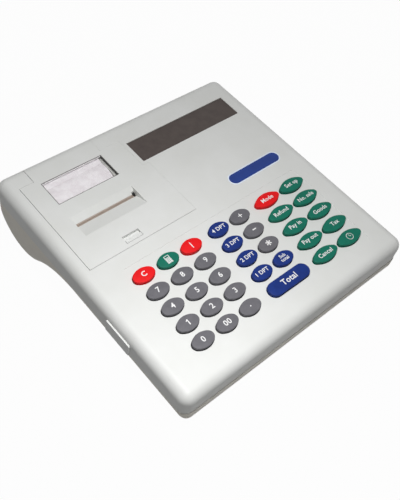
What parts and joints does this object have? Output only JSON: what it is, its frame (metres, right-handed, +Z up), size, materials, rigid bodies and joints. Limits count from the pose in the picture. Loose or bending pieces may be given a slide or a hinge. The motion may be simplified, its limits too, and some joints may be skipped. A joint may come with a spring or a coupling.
{
  "type": "ticket register",
  "caption": "Slab-shaped desk register with oval keys, a long display, and a receipt printer and paper roll under a hinged cover.",
  "frame": {"origin": "centre of the footprint, on the surface that the feet stand on", "axes": "+X to the operator's right, +Y to the back, +Z up"},
  "size_m": [0.2536, 0.253, 0.0652],
  "materials": {
    "case_plastic": "fine-textured moulding, warm light grey",
    "clear_pane": "clear polycarbonate pane",
    "tear_steel": "brown-grey serrated strip",
    "paper": "white thermal paper",
    "dark_plastic": "satin",
    "grey_plastic": "satin",
    "sheet_steel": "zinc-plated sheet",
    "head_ceramic": "dark ceramic and resin",
    "black_rubber": "matt black rubber",
    "white_plastic": "natural acetal",
    "pinion_brass": "machined",
    "motor_steel": "plated can",
    "bright_steel": "bright zinc",
    "filter_plastic": "smoke-brown filter",
    "circuit_board": "green solder resist",
    "badge_blue": "blue plate with a pale rim",
    "dome_rubber": "pale silicone",
    "key_grey": "satin dark grey",
    "key_red": "satin red",
    "key_green": "satin green",
    "key_blue": "satin navy blue"
  },
  "bodies": {
    "case": {"upper_case": "case_plastic", "lower_case": "case_plastic", "roll_cradle": "grey_plastic", "printer_frame": "sheet_steel", "thermal_head": "head_ceramic", "stepper_motor": "motor_steel", "hinge_pins": "bright_steel", "display_filter": "filter_plastic", "display_module": "circuit_board", "blank_badge": "badge_blue", "keyboard_board": "circuit_board", "dome_mat": "dome_rubber", "main_board": "circuit_board", "rubber_feet": "black_rubber", "case_screws": "bright_steel", "port_cover": "case_plastic"},
    "printer_cover": {"printer_cover": "case_plastic", "roll_window": "clear_pane", "tear_bar": "tear_steel"},
    "cover_latch": {"cover_latch": "case_plastic"},
    "roll": {"paper_roll": "paper", "roll_spindle": "dark_plastic"},
    "platen": {"platen_roller": "black_rubber", "platen_gear": "white_plastic"},
    "idler": {"idler_gear": "white_plastic"},
    "pinion": {"motor_pinion": "pinion_brass"},
    "key_clear": {"key_clear": "key_red"},
    "key_digit_7": {"key_digit_7": "key_grey"},
    "key_digit_4": {"key_digit_4": "key_grey"},
    "key_digit_1": {"key_digit_1": "key_grey"},
    "key_digit_0": {"key_digit_0": "key_grey"},
    "key_calculator": {"key_calculator": "key_green"},
    "key_digit_8": {"key_digit_8": "key_grey"},
    "key_digit_5": {"key_digit_5": "key_grey"},
    "key_digit_2": {"key_digit_2": "key_grey"},
    "key_double_zero": {"key_double_zero": "key_grey"},
    "key_feed": {"key_feed": "key_red"},
    "key_digit_9": {"key_digit_9": "key_grey"},
    "key_digit_6": {"key_digit_6": "key_grey"},
    "key_digit_3": {"key_digit_3": "key_grey"},
    "key_point": {"key_point": "key_grey"},
    "key_department_4": {"key_department_4": "key_blue"},
    "key_department_3": {"key_department_3": "key_blue"},
    "key_department_2": {"key_department_2": "key_blue"},
    "key_department_1": {"key_department_1": "key_blue"},
    "key_plus": {"key_plus": "key_grey"},
    "key_minus": {"key_minus": "key_grey"},
    "key_multiply": {"key_multiply": "key_grey"},
    "key_subtotal": {"key_subtotal": "key_blue"},
    "key_total": {"key_total": "key_blue"},
    "key_mode": {"key_mode": "key_red"},
    "key_refund": {"key_refund": "key_green"},
    "key_pay_in": {"key_pay_in": "key_green"},
    "key_pay_out": {"key_pay_out": "key_green"},
    "key_cancel": {"key_cancel": "key_green"},
    "key_settings": {"key_settings": "key_green"},
    "key_journal": {"key_journal": "key_green"},
    "key_goods": {"key_goods": "key_green"},
    "key_tax": {"key_tax": "key_green"},
    "key_clock": {"key_clock": "key_green"}
  },
  "joints": [
    {"name": "cover_hinge", "type": "hinge", "parent": "case", "child": "printer_cover", "pos_m": [-0.0585, 0.12264, 0.05221], "axis": [-1, 0, 0], "range_deg": [0, 95]},
    {"name": "latch_slide", "type": "slide", "parent": "printer_cover", "child": "cover_latch", "axis": [0, 0.9903, 0.1392], "range_m": [0, 0.003], "stiffness_N_per_m": 300},
    {"name": "platen_spin", "type": "hinge", "parent": "case", "child": "platen", "pos_m": [-0.06435, 0.04431, 0.03766], "axis": [1, 0, 0], "continuous": true},
    {"name": "idler_spin", "type": "hinge", "parent": "case", "child": "idler", "pos_m": [-0.02735, 0.02652, 0.03828], "axis": [1, 0, 0], "continuous": true},
    {"name": "pinion_spin", "type": "hinge", "parent": "case", "child": "pinion", "pos_m": [-0.02735, 0.01415, 0.03427], "axis": [1, 0, 0], "continuous": true},
    {"name": "roll_spin", "type": "hinge", "parent": "case", "child": "roll", "pos_m": [-0.0655, 0.09008, 0.03168], "axis": [1, 0, 0], "continuous": true},
    {"name": "key_clear_press", "type": "slide", "parent": "case", "child": "key_clear", "axis": [0, 0.1392, -0.9903], "range_m": [0, 0.0014], "stiffness_N_per_m": 400},
    {"name": "key_digit_7_press", "type": "slide", "parent": "case", "child": "key_digit_7", "axis": [0, 0.1392, -0.9903], "range_m": [0, 0.0014], "stiffness_N_per_m": 400},
    {"name": "key_digit_4_press", "type": "slide", "parent": "case", "child": "key_digit_4", "axis": [0, 0.1392, -0.9903], "range_m": [0, 0.0014], "stiffness_N_per_m": 400},
    {"name": "key_digit_1_press", "type": "slide", "parent": "case", "child": "key_digit_1", "axis": [0, 0.1392, -0.9903], "range_m": [0, 0.0014], "stiffness_N_per_m": 400},
    {"name": "key_digit_0_press", "type": "slide", "parent": "case", "child": "key_digit_0", "axis": [0, 0.1392, -0.9903], "range_m": [0, 0.0014], "stiffness_N_per_m": 400},
    {"name": "key_calculator_press", "type": "slide", "parent": "case", "child": "key_calculator", "axis": [0, 0.1392, -0.9903], "range_m": [0, 0.0014], "stiffness_N_per_m": 400},
    {"name": "key_digit_8_press", "type": "slide", "parent": "case", "child": "key_digit_8", "axis": [0, 0.1392, -0.9903], "range_m": [0, 0.0014], "stiffness_N_per_m": 400},
    {"name": "key_digit_5_press", "type": "slide", "parent": "case", "child": "key_digit_5", "axis": [0, 0.1392, -0.9903], "range_m": [0, 0.0014], "stiffness_N_per_m": 400},
    {"name": "key_digit_2_press", "type": "slide", "parent": "case", "child": "key_digit_2", "axis": [0, 0.1392, -0.9903], "range_m": [0, 0.0014], "stiffness_N_per_m": 400},
    {"name": "key_double_zero_press", "type": "slide", "parent": "case", "child": "key_double_zero", "axis": [0, 0.1392, -0.9903], "range_m": [0, 0.0014], "stiffness_N_per_m": 400},
    {"name": "key_feed_press", "type": "slide", "parent": "case", "child": "key_feed", "axis": [0, 0.1392, -0.9903], "range_m": [0, 0.0014], "stiffness_N_per_m": 400},
    {"name": "key_digit_9_press", "type": "slide", "parent": "case", "child": "key_digit_9", "axis": [0, 0.1392, -0.9903], "range_m": [0, 0.0014], "stiffness_N_per_m": 400},
    {"name": "key_digit_6_press", "type": "slide", "parent": "case", "child": "key_digit_6", "axis": [0, 0.1392, -0.9903], "range_m": [0, 0.0014], "stiffness_N_per_m": 400},
    {"name": "key_digit_3_press", "type": "slide", "parent": "case", "child": "key_digit_3", "axis": [0, 0.1392, -0.9903], "range_m": [0, 0.0014], "stiffness_N_per_m": 400},
    {"name": "key_point_press", "type": "slide", "parent": "case", "child": "key_point", "axis": [0, 0.1392, -0.9903], "range_m": [0, 0.0014], "stiffness_N_per_m": 400},
    {"name": "key_department_4_press", "type": "slide", "parent": "case", "child": "key_department_4", "axis": [0, 0.1392, -0.9903], "range_m": [0, 0.0014], "stiffness_N_per_m": 400},
    {"name": "key_department_3_press", "type": "slide", "parent": "case", "child": "key_department_3", "axis": [0, 0.1392, -0.9903], "range_m": [0, 0.0014], "stiffness_N_per_m": 400},
    {"name": "key_department_2_press", "type": "slide", "parent": "case", "child": "key_department_2", "axis": [0, 0.1392, -0.9903], "range_m": [0, 0.0014], "stiffness_N_per_m": 400},
    {"name": "key_department_1_press", "type": "slide", "parent": "case", "child": "key_department_1", "axis": [0, 0.1392, -0.9903], "range_m": [0, 0.0014], "stiffness_N_per_m": 400},
    {"name": "key_plus_press", "type": "slide", "parent": "case", "child": "key_plus", "axis": [0, 0.1392, -0.9903], "range_m": [0, 0.0014], "stiffness_N_per_m": 400},
    {"name": "key_minus_press", "type": "slide", "parent": "case", "child": "key_minus", "axis": [0, 0.1392, -0.9903], "range_m": [0, 0.0014], "stiffness_N_per_m": 400},
    {"name": "key_multiply_press", "type": "slide", "parent": "case", "child": "key_multiply", "axis": [0, 0.1392, -0.9903], "range_m": [0, 0.0014], "stiffness_N_per_m": 400},
    {"name": "key_subtotal_press", "type": "slide", "parent": "case", "child": "key_subtotal", "axis": [0, 0.1392, -0.9903], "range_m": [0, 0.0014], "stiffness_N_per_m": 400},
    {"name": "key_total_press", "type": "slide", "parent": "case", "child": "key_total", "axis": [0, 0.1392, -0.9903], "range_m": [0, 0.0014], "stiffness_N_per_m": 400},
    {"name": "key_mode_press", "type": "slide", "parent": "case", "child": "key_mode", "axis": [0, 0.1392, -0.9903], "range_m": [0, 0.0014], "stiffness_N_per_m": 400},
    {"name": "key_refund_press", "type": "slide", "parent": "case", "child": "key_refund", "axis": [0, 0.1392, -0.9903], "range_m": [0, 0.0014], "stiffness_N_per_m": 400},
    {"name": "key_pay_in_press", "type": "slide", "parent": "case", "child": "key_pay_in", "axis": [0, 0.1392, -0.9903], "range_m": [0, 0.0014], "stiffness_N_per_m": 400},
    {"name": "key_pay_out_press", "type": "slide", "parent": "case", "child": "key_pay_out", "axis": [0, 0.1392, -0.9903], "range_m": [0, 0.0014], "stiffness_N_per_m": 400},
    {"name": "key_cancel_press", "type": "slide", "parent": "case", "child": "key_cancel", "axis": [0, 0.1392, -0.9903], "range_m": [0, 0.0014], "stiffness_N_per_m": 400},
    {"name": "key_settings_press", "type": "slide", "parent": "case", "child": "key_settings", "axis": [0, 0.1392, -0.9903], "range_m": [0, 0.0014], "stiffness_N_per_m": 400},
    {"name": "key_journal_press", "type": "slide", "parent": "case", "child": "key_journal", "axis": [0, 0.1392, -0.9903], "range_m": [0, 0.0014], "stiffness_N_per_m": 400},
    {"name": "key_goods_press", "type": "slide", "parent": "case", "child": "key_goods", "axis": [0, 0.1392, -0.9903], "range_m": [0, 0.0014], "stiffness_N_per_m": 400},
    {"name": "key_tax_press", "type": "slide", "parent": "case", "child": "key_tax", "axis": [0, 0.1392, -0.9903], "range_m": [0, 0.0014], "stiffness_N_per_m": 400},
    {"name": "key_clock_press", "type": "slide", "parent": "case", "child": "key_clock", "axis": [0, 0.1392, -0.9903], "range_m": [0, 0.0014], "stiffness_N_per_m": 400}
  ],
  "couplings": [
    {"joint": "idler_spin", "follows": "platen_spin", "ratio": -1.2},
    {"joint": "pinion_spin", "follows": "platen_spin", "ratio": 2}
  ]
}
